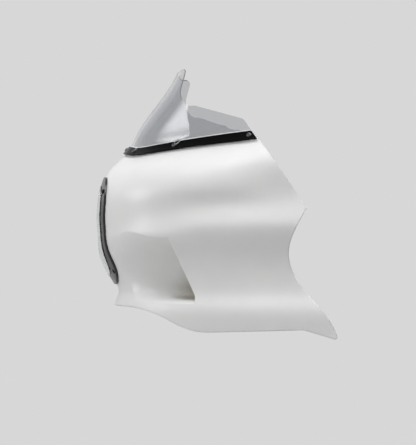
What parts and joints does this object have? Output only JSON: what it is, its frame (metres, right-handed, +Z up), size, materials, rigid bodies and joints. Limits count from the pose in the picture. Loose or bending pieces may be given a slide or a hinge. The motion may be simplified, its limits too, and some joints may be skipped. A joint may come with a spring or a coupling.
{
  "type": "motorcycle fairing",
  "caption": "White half fairing for a motorcycle: moulded shell with side scoops, smoked windshield on a black trim strip, nose headlight and a welded stay that bolts to the frame.",
  "frame": {"origin": "centre of the underside of the stay's mounting plate, midway between its bolt holes", "axes": "+X to the rear of the motorcycle, +Y to its right, +Z up"},
  "size_m": [0.4877, 0.5882, 0.5322],
  "materials": {
    "shell_white": "gloss gel coat",
    "screen_acrylic": "clear, light smoke",
    "trim_black": "gloss",
    "black_steel": "black oxide",
    "steel": "zinc plated",
    "brass": "turned",
    "lens_clear": "clear",
    "rubber_black": "matte",
    "housing_black": "matte",
    "reflector_chrome": "mirror",
    "bulb_glass": "clear",
    "stay_paint": "satin black",
    "adhesive_grey": "matte"
  },
  "bodies": {
    "root": {"fairing_shell": "shell_white", "windshield": "screen_acrylic", "windshield_trim": "trim_black", "windshield_screws": "black_steel", "windshield_washers": "steel", "windshield_nuts": "steel", "headlight_bezel": "trim_black", "bezel_screws": "black_steel", "bezel_inserts": "brass", "headlight_lens": "lens_clear", "lens_gasket": "rubber_black", "headlight_housing": "housing_black", "headlight_reflector": "reflector_chrome", "headlight_bulb": "bulb_glass", "bulb_base": "steel", "bulb_terminals": "brass", "bulb_boot": "rubber_black", "fairing_stay": "stay_paint", "stud_pads": "adhesive_grey", "shell_studs": "steel", "stud_grommets": "rubber_black", "stud_washers": "steel", "stud_nuts": "steel"}
  },
  "joints": []
}
